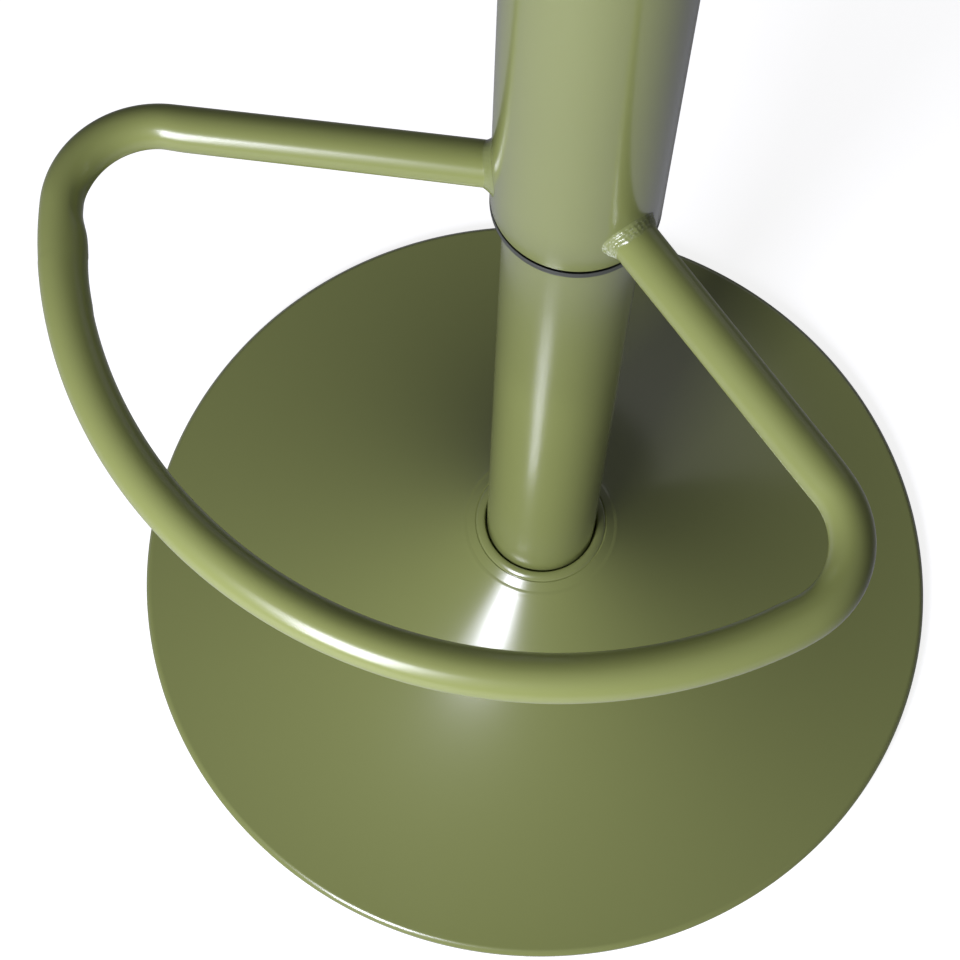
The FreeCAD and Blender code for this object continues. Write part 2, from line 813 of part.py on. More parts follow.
def seat_foam():
    """Foam that fills the cover and wraps the board's edge."""
    bottom, edges, top = cushion_profile(seat_cover_thickness)
    recess = board_radius + play
    return spun([
        line((recess, bottom[1]), bottom),
        *edges,
        line(top, (0, board_top)),
        line((0, board_top), (recess, board_top)),
        line((recess, board_top), (recess, bottom[1])),
    ])


pieces = [
    floor_ring, base_cover, ballast_plate, foot_bolts, foot_flange, column_tube, column_weld,
    guide_bush, lower_race, bearing_cage, bearing_balls, upper_race, rod_clip, piston_rod,
    bump_stop, piston, piston_ring, pressure_tube, rod_guide, rod_seal, valve_body, valve_button,
    sleeve_tube, glide_ring, sleeve_hub, footrest_tube, footrest_welds, taper_socket, socket_weld,
    seat_plate, lever_bracket, lever_pin, lever_rod, lever_grip, plate_bolts, plate_washers,
    tee_nuts, seat_board, dust_cover, seat_foam, seat_cover,
]

os.makedirs("parts", exist_ok=True)
for piece in pieces:
    shape = piece()
    solids = shape.Solids
    shape.exportStep("parts/" + piece.__name__ + ".step")
    print(piece.__name__, "solids", len(solids), "valid", shape.isValid(),
          "volume", round(sum(solid.Volume for solid in solids)))
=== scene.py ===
import math

import bpy
import numpy as np
from mathutils import Matrix, Vector


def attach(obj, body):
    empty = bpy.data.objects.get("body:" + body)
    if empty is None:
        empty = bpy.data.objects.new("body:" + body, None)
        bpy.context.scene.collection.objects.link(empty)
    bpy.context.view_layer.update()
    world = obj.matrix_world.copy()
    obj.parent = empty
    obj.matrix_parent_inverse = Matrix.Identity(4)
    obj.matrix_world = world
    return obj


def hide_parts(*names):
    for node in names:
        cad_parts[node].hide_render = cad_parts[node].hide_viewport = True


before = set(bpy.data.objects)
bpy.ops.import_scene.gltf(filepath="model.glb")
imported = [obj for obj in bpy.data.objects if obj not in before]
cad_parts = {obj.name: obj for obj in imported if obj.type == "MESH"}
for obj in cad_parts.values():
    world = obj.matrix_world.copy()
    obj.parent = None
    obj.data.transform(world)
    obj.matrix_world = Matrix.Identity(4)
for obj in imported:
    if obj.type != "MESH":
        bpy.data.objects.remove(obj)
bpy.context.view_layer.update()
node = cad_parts


# Rubber ring
# A flat ring of dark moulded rubber, glued under the base's hem. It keeps the steel off the
# floor, and the stool from sliding.

def paint(name, colour, metallic=0.0, roughness=0.5):
    """A new material whose shader has these plain values."""
    material = bpy.data.materials.new(name)
    material.use_nodes = True
    shader = material.node_tree.nodes["Principled BSDF"]
    shader.inputs["Base Color"].default_value = (*colour, 1)
    shader.inputs["Metallic"].default_value = metallic
    shader.inputs["Roughness"].default_value = roughness
    return material


def parts_of(material):
    """A material's nodes, its links and its shader."""
    nodes = material.node_tree.nodes
    return nodes, material.node_tree.links, nodes["Principled BSDF"]


def feed(links, value, socket):
    """Links a socket to another node's output, or sets it to a number or a colour."""
    if isinstance(value, bpy.types.NodeSocket):
        links.new(value, socket)
    else:
        socket.default_value = (*value, 1) if isinstance(value, tuple) else value


def worked_out(nodes, links, operation, first, second):
    """The result of a Math node on two outputs or numbers."""
    step = nodes.new("ShaderNodeMath")
    step.operation = operation
    feed(links, first, step.inputs[0])
    feed(links, second, step.inputs[1])
    return step.outputs[0]


def mixed(nodes, links, share, first, second):
    """A colour from the first to the second of two outputs or colours, as the share grows."""
    mix = nodes.new("ShaderNodeMix")
    mix.data_type = "RGBA"
    feed(links, share, mix.inputs[0])
    feed(links, first, mix.inputs[6])
    feed(links, second, mix.inputs[7])
    return mix.outputs[2]


def noise(nodes, links, place, scale, detail=2.0):
    """Smooth noise from 0 to 1, with this many cells to the metre."""
    step = nodes.new("ShaderNodeTexNoise")
    step.inputs["Detail"].default_value = detail
    feed(links, place, step.inputs["Vector"])
    feed(links, scale, step.inputs["Scale"])
    return step.outputs[0]


def grain_group():
    """Fine surface grain: two sizes of noise added, as a height, with slow patches beside it."""
    finer = 3.3
    fine_share = 0.35
    group = bpy.data.node_groups.new("surface grain", "ShaderNodeTree")
    for label, value in (("Cells", 400.0), ("Patches", 9.0)):
        socket = group.interface.new_socket(label, in_out="INPUT", socket_type="NodeSocketFloat")
        socket.default_value = value
    for label in ("Height", "Patch"):
        group.interface.new_socket(label, in_out="OUTPUT", socket_type="NodeSocketFloat")
    nodes, links = group.nodes, group.links
    given = nodes.new("NodeGroupInput").outputs
    result = nodes.new("NodeGroupOutput").inputs
    place = nodes.new("ShaderNodeTexCoord").outputs["Object"]
    coarse = noise(nodes, links, place, given["Cells"])
    fine = noise(nodes, links, place, worked_out(nodes, links, "MULTIPLY", given["Cells"], finer))
    fine = worked_out(nodes, links, "MULTIPLY", fine, fine_share)
    links.new(worked_out(nodes, links, "ADD", coarse, fine), result["Height"])
    links.new(noise(nodes, links, place, given["Patches"], 3.0), result["Patch"])
    return group


surface_grain = grain_group()


def add_grain(material, cells, depth, patches, colours=None, roughness=None):
    """Puts the grain on a material: cells to the metre, bump of a depth in metres, and, from patch
    to patch, two colours and two roughnesses."""
    nodes, links, shader = parts_of(material)
    grain = nodes.new("ShaderNodeGroup")
    grain.node_tree = surface_grain
    grain.inputs["Cells"].default_value = cells
    grain.inputs["Patches"].default_value = patches
    bump = nodes.new("ShaderNodeBump")
    bump.inputs["Strength"].default_value = 1.0
    bump.inputs["Distance"].default_value = depth
    links.new(grain.outputs["Height"], bump.inputs["Height"])
    links.new(bump.outputs["Normal"], shader.inputs["Normal"])
    if colours:
        links.new(mixed(nodes, links, grain.outputs["Patch"], *colours), shader.inputs["Base Color"])
    if roughness:
        spread = nodes.new("ShaderNodeMapRange")
        spread.inputs["To Min"].default_value = roughness[0]
        spread.inputs["To Max"].default_value = roughness[1]
        links.new(grain.outputs["Patch"], spread.inputs["Value"])
        links.new(spread.outputs[0], shader.inputs["Roughness"])


def finish_nodes(material, *names):
    """Gives CAD nodes this material in every slot."""
    for name in names:
        slots = node[name].data.materials
        slots.clear()
        slots.append(material)


rubber = paint("dark rubber", (0.025, 0.025, 0.025), roughness=0.8)
add_grain(rubber, cells=900, depth=0.00012, patches=30,
          colours=((0.018, 0.018, 0.018), (0.042, 0.041, 0.038)), roughness=(0.7, 0.9))
finish_nodes(rubber, "floor_ring")


# Base cover
# One disc of sheet steel, spun to a trumpet: a hem and a rounded rim, a hollow flank, a
# shoulder and a beaded collar round the column. Powder coated olive, semi-gloss.

def arc(centre, radius, start, end, step):
    """Points on an arc in a profile: centre plus radius times (cos, sin) of evenly spaced angles."""
    count = max(3, int(abs(end - start) * radius / step) + 2)
    angle = np.linspace(start, end, count)
    return np.stack([centre[0] + radius * np.cos(angle), centre[1] + radius * np.sin(angle)], 1)


def run(start, end, step):
    """Points on a straight run of a profile, without its two ends."""
    count = max(1, int(math.dist(start, end) / step))
    share = np.linspace(0, 1, count + 2)[1:-1, None]
    return np.array(start) * (1 - share) + np.array(end) * share


def shell(name, grid, material=None, crease=40, ends="joined"):
    """A mesh of quads over a grid of points in millimetres, rows by columns by 3. Columns join
    round. The first and last rows are joined, or capped with a face each, or left open. The
    enclosed volume, a sixth of the sum of a . (b x c) over the faces, tells which way the
    faces point, and they are turned outward."""
    rows, columns = grid.shape[:2]
    number = np.arange(rows * columns).reshape(rows, columns)
    last = rows if ends == "joined" else rows - 1
    here = number[:last]
    above = np.roll(number, -1, 0)[:last]
    quads = np.stack([here, np.roll(here, -1, 1), np.roll(above, -1, 1), above], 2).reshape(-1, 4)
    points = grid.reshape(-1, 3) / 1000
    corner = points[quads]
    volume = np.einsum("ij,ij->i", corner[:, 0], np.cross(corner[:, 1], corner[:, 2])
                       + np.cross(corner[:, 2], corner[:, 3])).sum()
    faces = quads.tolist()
    if ends == "capped":
        faces += [number[0, ::-1].tolist(), number[-1].tolist()]
    if volume < 0:
        faces = [face[::-1] for face in faces]
    mesh = bpy.data.meshes.new(name)
    mesh.from_pydata(points.tolist(), [], faces)
    mesh.validate()
    mesh.shade_smooth()
    mesh.set_sharp_from_angle(angle=math.radians(crease))
    if material:
        mesh.materials.append(material)
    piece = bpy.data.objects.new(name, mesh)
    bpy.context.scene.collection.objects.link(piece)
    return piece


def turned(outline, steps=256):
    """A profile of (radius, height) turned round Z: x = r cos a, y = r sin a, z = h."""
    angle = np.linspace(0, 2 * np.pi, steps, endpoint=False)
    r, h = outline[:, :1], outline[:, 1:]
    return np.stack([r * np.cos(angle), r * np.sin(angle), h + 0 * angle], 2)


def place(piece, body, slot, *stands_for):
    """Lets a finished piece ride on its body, in place of the CAD nodes that it stands for."""
    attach(piece, body)
    if stands_for:
        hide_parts(*stands_for)


olive = (0.223, 0.251, 0.079)


def olive_coat(name, shine, painted_light_gain=1.0, skin=1.0):
    """The olive powder coat: a satin colour under a clear skin of this roughness and weight. A gain above 1
    paints the colour lighter, as painted light.
    """
    material = paint(name, olive, roughness=0.3)
    add_grain(material, cells=420, depth=0.000006, patches=7, roughness=(0.27, 0.33),
              colours=[tuple(painted_light_gain * share * part for part in olive) for share in (0.97, 1.03)])
    shader = parts_of(material)[2]
    shader.inputs["Specular IOR Level"].default_value = 0.25
    shader.inputs["Coat Weight"].default_value = skin
    shader.inputs["Coat IOR"].default_value = 1.6
    shader.inputs["Coat Roughness"].default_value = shine
    return material


coat = olive_coat("olive powder coat", 0.15)
thick_coat = olive_coat("thick olive powder coat", 0.18)
# The foot loop's copy has a thinner skin, and its colour is painted 16 per cent lighter: painted light, for
# light that the lamps don't bring to the tubes.
thin_coat_painted_lighter = olive_coat("thin olive powder coat painted lighter", 0.19, 1.16, 0.5)

wall = 1.5
collar_foot = (25.8, 66.7)
collar_mouth = (26.0, 70.8)
bead_crease = (30.6, 69.85)
flank_crease = (35.9, 67.02)
crease_turn = 0.006
flank = (215.04, 308.12)
flank_radius = 300.48
rim = (189.38, 5.73)
rim_radius = 3.0
lip = (192.0, 6.645)
lip_radius = 0.5
hem = (190.6, 3.5)
hem_bore = 160.5
roll = (190.0, 6.18)
roll_radius = 1.0
shoulder = (32.8, 64.2)
shoulder_radius = 2.5
flank_start = math.atan2(flank[1] - shoulder[1], flank[0] - shoulder[0])
flank_end = math.radians(85.15)
rim_start = flank_end - 0.05


def collar_bead():
    """The bead round the collar's mouth: over x from 0 to 4 outward, a slope 71.7 - 0.42 x with
    half an ellipse, 1.05 sqrt(1 - (x / 2 - 1)^2), standing on it."""
    x = np.linspace(0, 4, 30)
    height = 71.7 - 0.42 * x + 1.05 * np.sqrt(1 - (x / 2 - 1) ** 2)
    return np.stack([26.4 + x, height], 1)


def collar_band():
    """The band between the two creases: over x from 0 to 3.8 outward, 70 - 0.66 x - 0.014 x^2."""
    x = np.linspace(0, 3.8, 14)
    return np.stack([31.1 + x, 70.0 - 0.66 * x - 0.014 * x ** 2], 1)


trumpet_outline = np.vstack([
    [collar_foot, collar_mouth],
    collar_bead(),
    [bead_crease],
    collar_band(),
    [flank_crease],
    arc(flank, flank_radius, flank_start + math.pi + crease_turn, flank_end + math.pi, 2.2),
    arc(rim, rim_radius, rim_start, math.pi / 4, 0.2),
    arc(lip, lip_radius, math.pi / 4, -math.pi / 3, 0.15),
    arc(hem, wall, 0, -math.pi / 2, 0.5),
    [(hem_bore, hem[1] - wall), (hem_bore, hem[1]), (roll[0] + roll_radius, hem[1])],
    arc(roll, roll_radius, 0, flank_end, 0.7),
    arc(flank, flank_radius + wall, flank_end + math.pi, flank_start + math.pi, 8.0),
    arc(shoulder, shoulder_radius, flank_start, math.pi / 2, 1.5),
])
trumpet = shell("base_trumpet", turned(trumpet_outline, 320), material=thick_coat)
place(trumpet, "base", "olive_steel", "base_cover")


# Ballast, flange and screws
# A sheared steel disc lies in the hem as ballast. The column's flange is screwed down on
# it from below with four zinc-plated cap screws, and the column is welded to the flange.

def metal(name, colour, roughness, cells, depth, spread=0.06):
    """Bare or plated metal with fine grain and slightly patchy gloss."""
    material = paint(name, colour, 1.0, roughness)
    dark = tuple(0.82 * part for part in colour)
    add_grain(material, cells, depth, patches=25, colours=(dark, colour),
              roughness=(roughness - spread, roughness + spread))
    return material


rolled_steel = metal("rolled steel", (0.42, 0.41, 0.40), 0.5, 500, 0.00004, 0.12)
zinc = metal("zinc plating", (0.62, 0.62, 0.63), 0.3, 1200, 0.00001)
weld_metal = metal("weld metal", (0.36, 0.34, 0.32), 0.45, 700, 0.0002, 0.12)
finish_nodes(rolled_steel, "ballast_plate", "foot_flange")
finish_nodes(zinc, "foot_bolts")
finish_nodes(weld_metal, "column_weld")


# Column
# A drawn steel tube with the same coat as the base. A black moulded bush in its mouth
# guides the gas spring.

column_radius = 25.4
column_bore = 23.4
column_foot = 17.5
column_top = 446.0
column_round = 0.5
column_outline = np.vstack([
    [(column_radius, column_foot)],
    run((column_radius, column_foot), (column_radius, column_top - column_round), 12),
    arc((column_radius - column_round, column_top - column_round), column_round, 0, math.pi / 2, 0.2),
    [(column_bore, column_top), (column_bore, column_foot)],
])
column = shell("column_pipe", turned(column_outline, 192), material=coat)
place(column, "base", "olive_steel", "column_tube")

black_plastic = paint("black moulded plastic", (0.03, 0.03, 0.03), roughness=0.5)
add_grain(black_plastic, cells=1600, depth=0.00003, patches=14,
          colours=((0.026, 0.026, 0.027), (0.036, 0.036, 0.036)), roughness=(0.45, 0.58))
finish_nodes(black_plastic, "guide_bush")


# Thrust bearing and piston rod
# Two hardened races with a caged ring of balls carry the piston rod, which is ground and
# chromed. A clip holds its spigot under the flange, and a rubber ring stops the cylinder.

bearing_steel = metal("hardened steel", (0.56, 0.56, 0.57), 0.18, 1500, 0.000005, 0.04)
chrome = metal("ground chrome", (0.72, 0.73, 0.74), 0.12, 2500, 0.000004, 0.03)
finish_nodes(bearing_steel, "lower_race", "upper_race", "bearing_balls")
finish_nodes(black_plastic, "bearing_cage", "piston")
finish_nodes(rubber, "bump_stop", "piston_ring")
finish_nodes(chrome, "piston_rod")
finish_nodes(zinc, "rod_clip")


# Gas spring
# The cylinder is a black-enamelled steel tube, tapered at its top. It holds the rod's
# guide and seal below and the valve with its release pin above.

black_enamel = paint("satin black enamel", (0.03, 0.03, 0.032), roughness=0.42)
add_grain(black_enamel, cells=500, depth=0.00002, patches=12,
          colours=((0.026, 0.026, 0.028), (0.036, 0.036, 0.038)), roughness=(0.38, 0.48))
finish_nodes(black_enamel, "pressure_tube")
finish_nodes(zinc, "rod_guide")
finish_nodes(rubber, "rod_seal")
finish_nodes(black_plastic, "valve_body")
finish_nodes(bearing_steel, "valve_button")


# Sleeve
# A second coated tube that slides over the column, with a steel hub in its top. A grey moulded
# ring under its edge rubs on the column, and has a thin lip round a dark groove.

sleeve_radius = 30.4
sleeve_edge = 376.4
sleeve_top = 707.7
edge_round = 0.6
top_round = 0.4
sleeve_outline = np.vstack([
    arc((sleeve_radius - edge_round, sleeve_edge + edge_round), edge_round, -math.pi / 2, 0, 0.2),
    run((sleeve_radius, sleeve_edge + edge_round), (sleeve_radius, sleeve_top - top_round), 12),
    arc((sleeve_radius - top_round, sleeve_top - top_round), top_round, 0, math.pi / 2, 0.2),
    [(sleeve_radius - wall, sleeve_top), (sleeve_radius - wall, sleeve_edge)],
])
sleeve = shell("sleeve_pipe", turned(sleeve_outline, 192), material=coat)
place(sleeve, "carriage", "olive_steel", "sleeve_tube")

grey_plastic = paint("grey moulded plastic", (0.058, 0.062, 0.052), roughness=0.45)
add_grain(grey_plastic, cells=1600, depth=0.00002, patches=14,
          colours=((0.053, 0.057, 0.047), (0.063, 0.067, 0.056)), roughness=(0.4, 0.5))
ring_bore = 25.45
ring_foot = 371.9
ring_round = 0.7
ring_top = 390.4
groove_floor = ring_foot + ring_round
groove_bore = 28.5
spigot_radius = 28.85
lip_round = 0.2
lip_middle = (sleeve_radius - lip_round, 374.7)
ring_outline = np.vstack([
    [(ring_bore, ring_foot)],
    arc((sleeve_radius - ring_round, groove_floor), ring_round, -math.pi / 2, 0, 0.2),
    arc(lip_middle, lip_round, 0, math.pi, 0.1),
    [(lip_middle[0] - lip_round, groove_floor), (groove_bore, groove_floor), (groove_bore, sleeve_edge),
     (spigot_radius, sleeve_edge), (spigot_radius, ring_top), (ring_bore, ring_top)],
])
glide = shell("glide_collar", turned(ring_outline, 192), material=grey_plastic)
place(glide, "carriage", "grey_plastic", "glide_ring")
finish_nodes(black_enamel, "sleeve_hub")


# Foot loop
# One length of 16 mm tube, bent cold to two arms, two tight bends and a wide front arc. The
# bends are a little flattened, the left one is wrinkled on its inside, and the arms' ends
# are pressed slightly flat for the welds.

loop_height = 392.9
tube_radius = 8.0
arm_start = 30.7
arm_angle = math.radians(65.5)
front_radius = 165.3
front_centre = np.array([0.0, -19.2])
bend_radius = 31.3
outward_arm = np.array([math.sin(arm_angle), -math.cos(arm_angle)])
inward = np.array([-math.cos(arm_angle), -math.sin(arm_angle)])
# The bend touches the arm's line, and the front arc from inside. So its centre lies a bend's
# radius beside the arm, and the two radii's difference away from the front arc's centre.
offset = inward * bend_radius - front_centre
half_chord = outward_arm @ offset
arm_length = -half_chord + math.sqrt(half_chord ** 2 - offset @ offset + (front_radius - bend_radius) ** 2)
bend_centre = outward_arm * arm_length + inward * bend_radius
bend_out = (bend_centre - front_centre) / np.linalg.norm(bend_centre - front_centre)
bend_start = math.atan2(-inward[1], -inward[0])
bend_end = math.atan2(bend_out[1], bend_out[0])
bend_turn = bend_start - bend_end
front_half = bend_end + math.pi / 2
arm_run = arm_length - arm_start
bend_run = bend_radius * bend_turn
right_in, right_out, left_in, left_out, loop_length = np.cumsum(
    [arm_run, bend_run, 2 * front_radius * front_half, bend_run, arm_run])
right_end = (8.55, 7.6)
left_end = (8.4, 7.7)
left_aim = -1.1


def loop_line(along):
    """The loop's centreline at lengths along it, with its sideways direction, in plan. The right
    half is arm, bend and front arc, each a line or an arc, and the left half is its mirror."""
    s = np.minimum(along, loop_length - along)
    on_arm = outward_arm * (arm_start + s[:, None])
    turn = bend_start - np.clip((s - right_in) / bend_radius, 0, bend_turn)
    spoke = np.stack([np.cos(turn), np.sin(turn)], 1)
    sweep = bend_end - np.clip((s - right_out) / front_radius, 0, front_half)
    ray = np.stack([np.cos(sweep), np.sin(sweep)], 1)
    before_front = (s < right_out)[:, None]
    curved = np.where(before_front, bend_centre + bend_radius * spoke, front_centre + front_radius * ray)
    line = np.where((s < right_in)[:, None], on_arm, curved)
    side = np.where(before_front, spoke, ray)
    mirror = np.where((along > loop_length / 2)[:, None], [-1.0, 1.0], [1.0, 1.0])
    return line * mirror, side * mirror


def near(along, middle, width):
    """A column that rises smoothly to 1 round a place: exp of minus the squared distance."""
    return np.exp(-((along - middle) / width) ** 2)[:, None]


def within(along, first, last, edge):
    """A column of 1 between two places and 0 outside, with edges as soft as a tanh of that width."""
    return 0.5 * (np.tanh((along - first) / edge) - np.tanh((along - last) / edge))[:, None]


def loop_grid(radius, columns):
    """The loop's surface: the centreline plus a cos t sideways and b sin t up. Both a and b are
    near the radius: a is smaller in the bends and larger at the arms' ends, and b the other way,
    up to the pair given for each end.
    On the inside of the tube, where t is near 180 degrees, it swells out beside the bends and is
    pinched in at the left bend's start. The arms' ends are cut to fit the sleeve."""
    along = np.concatenate([
        [0.0], np.arange(2, right_in - 8, 5), np.arange(right_in - 8, right_out + 10, 1.0),
        np.arange(right_out + 10, left_in - 40, 2.5), np.arange(left_in - 40, left_out + 8, 1.0),
        np.arange(left_out + 8, loop_length - 2, 5), [loop_length]])
    line, side = loop_line(along)
    t = np.linspace(0, 2 * np.pi, columns, endpoint=False)[None]
    right = within(along, right_in, right_out, 5)
    left = within(along, left_in - 5, left_out, 5)
    right_press = np.exp(-along / 55)[:, None]
    left_press = np.exp(-(loop_length - along) / 80)[:, None]
    right_gain, left_gain = np.array([right_end, left_end]) / tube_radius - 1
    wide = 1 - 0.055 * (right + left) + right_gain[0] * right_press + left_gain[0] * left_press
    tall = 1 + 0.02 * (right + left) + right_gain[1] * right_press + left_gain[1] * left_press
    swell = (0.3 * within(along, left_in - 42, left_in - 10.5, 2) + 0.5 * near(along, left_in - 18, 8)
             + 0.15 * near(along, right_out + 7, 4))
    inside = np.clip(-np.cos(t), 0, 1) ** 2
    pinch = 0.5 * near(along, left_in + 2, 8) + 0.45 * near(along, left_in - 5, 4.2)
    fold = 0.5 + 0.5 * np.tanh((-np.cos(t) - 0.55) / 0.15)
    shift = 0.3 * left - 0.15 * right + left_aim * left_press * (left_press > 0.1)
    out = radius * wide * np.cos(t) - swell * inside + pinch * fold + shift
    up = radius * tall * np.sin(t)
    cut = arm_start - np.sqrt(arm_start ** 2 - (radius * wide * np.cos(t)) ** 2)
    ends = (along == 0)[:, None] * -cut + (along == loop_length)[:, None] * cut
    forward = np.gradient(line, axis=0)
    forward = forward / np.linalg.norm(forward, axis=1)[:, None]
    flat = line[:, None] + out[..., None] * side[:, None] + ends[..., None] * forward[:, None]
    return np.concatenate([flat, (loop_height + up)[..., None]], 2)


outer, inner = loop_grid(tube_radius, 64), loop_grid(tube_radius - wall, 64)
# The loop wears the olive coat painted lighter, as painted light.
loop = shell("foot_loop", np.concatenate([outer, inner[::-1]]), material=thin_coat_painted_lighter)
place(loop, "carriage", "olive_steel", "footrest_tube")


# Foot loop's welds
# A fillet of weld metal runs round each arm where it meets the sleeve, under the coat. The
# left one is smooth, and the right one is rough, brushed, and scuffed pale where it stops.

def weld_grid(side, press, aim, reach_out, rise_up, ripple, rough, seed):
    """A fillet round an arm: for angle t, from a toe on the sleeve, where the distance along the
    arm is sqrt(R^2 - u^2) at sideways offset u, to a toe on the arm, as a sagging curve between
    the two. Ridges run along it, and ripples cross it. Beside it a scuff, 0 to 1 by vertex."""
    rng = np.random.default_rng(seed)
    face_rows, under_rows = 22, 3
    root = sleeve_radius + 0.02
    t = np.linspace(0, 2 * np.pi, 420, endpoint=False)[None]
    across = np.concatenate([np.linspace(0, 1, face_rows), np.linspace(1, 0, under_rows + 2)[1:-1]])[:, None]
    under = np.concatenate([np.zeros(face_rows), np.ones(under_rows)])[:, None]
    wobble = sum(rng.normal() * np.cos(k * t + rng.uniform(0, 6.28)) / k for k in range(2, 12))
    change = 0.065 * wobble * (1 + rough)
    leg, up_leg = reach_out * (1 + change), rise_up * (1 + change)
    drift = sum(rng.normal() * np.cos(k * t + rng.uniform(0, 6.28)) for k in range(2, 7)) * 0.35
    ridge = np.cos(2 * np.pi * 2.3 * across + drift) * 0.16 * rough
    cross = ripple * np.cos(30 * t + 4 * across + 1.5 * drift)
    grain = rough * rng.normal(0, 0.045, (across.shape[0], t.shape[1]))
    stop = np.exp(-((t - 3.5) / 0.4) ** 2) * rough
    bumps = (ridge + cross + grain * (1 + 2.5 * stop) + 0.5 * stop) * np.sin(np.pi * across) ** 0.7
    rise = np.where(under > 0, 0.03, up_leg * (1 - across) ** 1.3 + bumps)
    u, up = (press[0] + rise) * np.cos(t) + aim, (press[1] + rise) * np.sin(t)
    reach = np.sqrt(root ** 2 - u ** 2) + np.where(under > 0, across, across ** 1.2) * leg
    plan = reach[..., None] * outward_arm + u[..., None] * -inward
    streak = rng.random((across.shape[0], t.shape[1] // 6)).repeat(6, 1)
    scuff = np.clip(1.4 * stop * (streak > 0.45) + 0.4 * rough * (streak > 0.93), 0, 1) * (under < 1)
    return np.concatenate([plan * [side, 1.0], (loop_height + up)[..., None]], 2), scuff


weld_coat = paint("olive coat over weld", olive, roughness=0.25)
add_grain(weld_coat, cells=1100, depth=0.00004, patches=60,
          colours=((0.215, 0.245, 0.084), (0.25, 0.283, 0.1)), roughness=(0.2, 0.3))
nodes, links, shader = parts_of(weld_coat)
shader.inputs["Coat Weight"].default_value = 0.6
shader.inputs["Coat Roughness"].default_value = 0.12
mark = nodes.new("ShaderNodeAttribute")
mark.attribute_name = "scuff"
unmarked = shader.inputs["Base Color"].links[0].from_socket
scuffed = mixed(nodes, links, mark.outputs["Fac"], unmarked, (0.5, 0.54, 0.38))
links.new(scuffed, shader.inputs["Base Color"])


def add_weld(name, side, press, **fillet):
    """The fillet at one end of the loop, with its scuff kept as an attribute."""
    grid, scuff = weld_grid(side, press, **fillet)
    weld = shell(name, grid, material=weld_coat, crease=80)
    values = weld.data.attributes.new("scuff", "FLOAT", "POINT").data
    values.foreach_set("value", scuff.ravel().astype(np.float32))
    place(weld, "carriage", "olive_steel", "footrest_welds")


add_weld("weld_right", 1.0, right_end, aim=0.0, reach_out=4.4, rise_up=2.2,
         ripple=0.04, rough=0.8, seed=4)
add_weld("weld_left", -1.0, left_end, aim=left_aim, reach_out=2.8, rise_up=2.6,
         ripple=0.02, rough=0.1, seed=9)


# Socket, plate and lever bracket
# Pressed and turned steel in black enamel. The socket is welded into the dish of the
# plate and jams on the cylinder's taper, and the bracket holds the release lever.

finish_nodes(black_enamel, "taper_socket", "socket_weld", "seat_plate", "lever_bracket")


# Release lever
# A zinc-plated rod bent down outside the dish, on a headed pin, with a ribbed black
# moulded grip pushed over its end.

finish_nodes(zinc, "lever_pin", "lever_rod")
lever_height = 758.3
droop = math.radians(13)
droop_start = 62.0
rod_reach = 183.0
rod_end = np.array([-rod_reach, 0.0, lever_height - (rod_reach - droop_start) * math.tan(droop)])
along_lever = np.array([-math.cos(droop), 0.0, -math.sin(droop)])
above_lever = np.array([-math.sin(droop), 0.0, math.cos(droop)])
grip_length = 62.0
grip_radius = 7.0
grip_round = 3.0
grip_bore = 4.05
grip_end_wall = 3.0


def grip_grid():
    """The grip turned round the lever's line: place = start + s along + r (cos a across + sin a
    above), with r dipping in a row of shallow grooves and rounded off at both ends."""
    pole = 0.1
    depth = grip_length - grip_end_wall
    middle = np.linspace(grip_round, grip_length - grip_round, 113)
    s = np.concatenate([[0, 0.15, 0.5, 1, 1.8], middle, [60.2, 61, 61.5, 61.85, grip_length]])
    into_round = grip_round - np.minimum(np.minimum(s, grip_length - s), grip_round)
    r = grip_radius - grip_round + np.sqrt(np.clip(grip_round ** 2 - into_round ** 2, 0, None))
    groove = 0.35 * (0.5 - 0.5 * np.cos(2 * np.pi * (s - 12) / 4)) * ((s > 12) & (s < 52))
    s = np.concatenate([[depth, depth, 0], s, [grip_length]])
    r = np.concatenate([[pole, grip_bore, grip_bore], r - groove, [pole]])
    a = np.linspace(0, 2 * np.pi, 64, endpoint=False)[None, :, None]
    start = rod_end + along_lever * (grip_end_wall - grip_length)
    centre = start + s[:, None, None] * along_lever
    return centre + r[:, None, None] * (np.cos(a) * np.array([0.0, 1.0, 0.0]) + np.sin(a) * above_lever)


grip = shell("lever_handle", grip_grid(), material=black_plastic, ends="capped")
place(grip, "lever", "black_plastic", "lever_grip")


# Seat fixings
# Zinc-plated hexagon screws and washers hold the plate up against the board, in tee nuts
# that are let into its top.

finish_nodes(zinc, "plate_bolts", "plate_washers", "tee_nuts")


# Seat board
# A disc of birch plywood with a pale, finely grained face veneer. It carries the pad, and
# the nuts that the plate is screwed to.

plywood = paint("birch plywood", (0.5, 0.36, 0.22), roughness=0.62)
add_grain(plywood, cells=300, depth=0.0001, patches=20)
nodes, links, shader = parts_of(plywood)
stretch = nodes.new("ShaderNodeMapping")
stretch.inputs["Scale"].default_value = (12, 220, 700)
links.new(nodes.new("ShaderNodeTexCoord").outputs["Object"], stretch.inputs["Vector"])
fibre = noise(nodes, links, stretch.outputs[0], 1.0, 4.0)
links.new(mixed(nodes, links, fibre, (0.36, 0.235, 0.125), (0.6, 0.45, 0.29)), shader.inputs["Base Color"])
finish_nodes(plywood, "seat_board")


# Dust cover
# A disc of thin black bonded cloth stapled under the board. It is pressed flat by the
# plate, and hangs a little between the plate and the hem.

cloth = paint("black bonded cloth", (0.02, 0.02, 0.02), roughness=0.9)
add_grain(cloth, cells=1800, depth=0.0001, patches=40,
          colours=((0.014, 0.014, 0.015), (0.03, 0.03, 0.031)), roughness=(0.82, 0.95))
dust_radius = 149.0
dust_height = 771.85
dust_thickness = 0.5
plate_reach = 116.0


